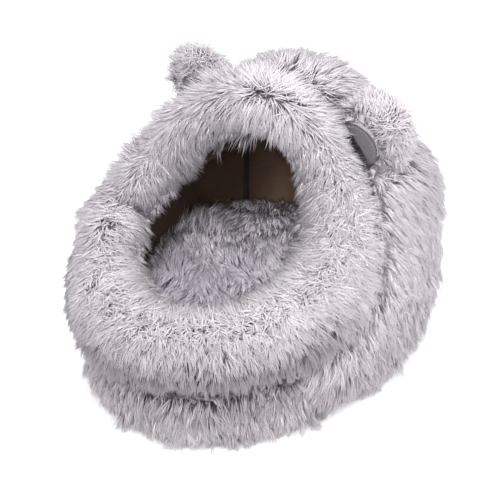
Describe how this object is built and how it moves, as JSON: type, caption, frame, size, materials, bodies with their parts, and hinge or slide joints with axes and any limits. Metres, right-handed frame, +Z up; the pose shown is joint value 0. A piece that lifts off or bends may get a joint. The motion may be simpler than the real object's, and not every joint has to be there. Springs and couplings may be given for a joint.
{
  "type": "plush pet cave bed",
  "caption": "Small pet's cave bed in long plush: an upright rolled rim round a slanted mouth, a hood with rounded ears, a taped lining and a loose furry cushion.",
  "frame": {"origin": "on the floor, under the middle of the bed, on the underside of the bottom panel", "axes": "+X to the bed's own right as seen from in front of its mouth, -Y out of the front, +Z up"},
  "size_m": [0.3408, 0.4104, 0.3094],
  "materials": {
    "plush": "long lilac grey pile",
    "cushion_plush": "long grey pile",
    "felt": "smooth grey felt",
    "lining": "brown nonwoven cloth",
    "binding": "black woven tape",
    "base": "grey padded cloth"
  },
  "bodies": {
    "root": {"base_panel": "base", "front_wall": "plush", "hood": "plush", "rim_roll": "plush", "lining": "lining", "seam_binding": "binding", "cushion": "cushion_plush", "ear_right": "plush", "ear_felt_right": "felt", "ear_left": "plush", "ear_felt_left": "felt"}
  },
  "joints": []
}
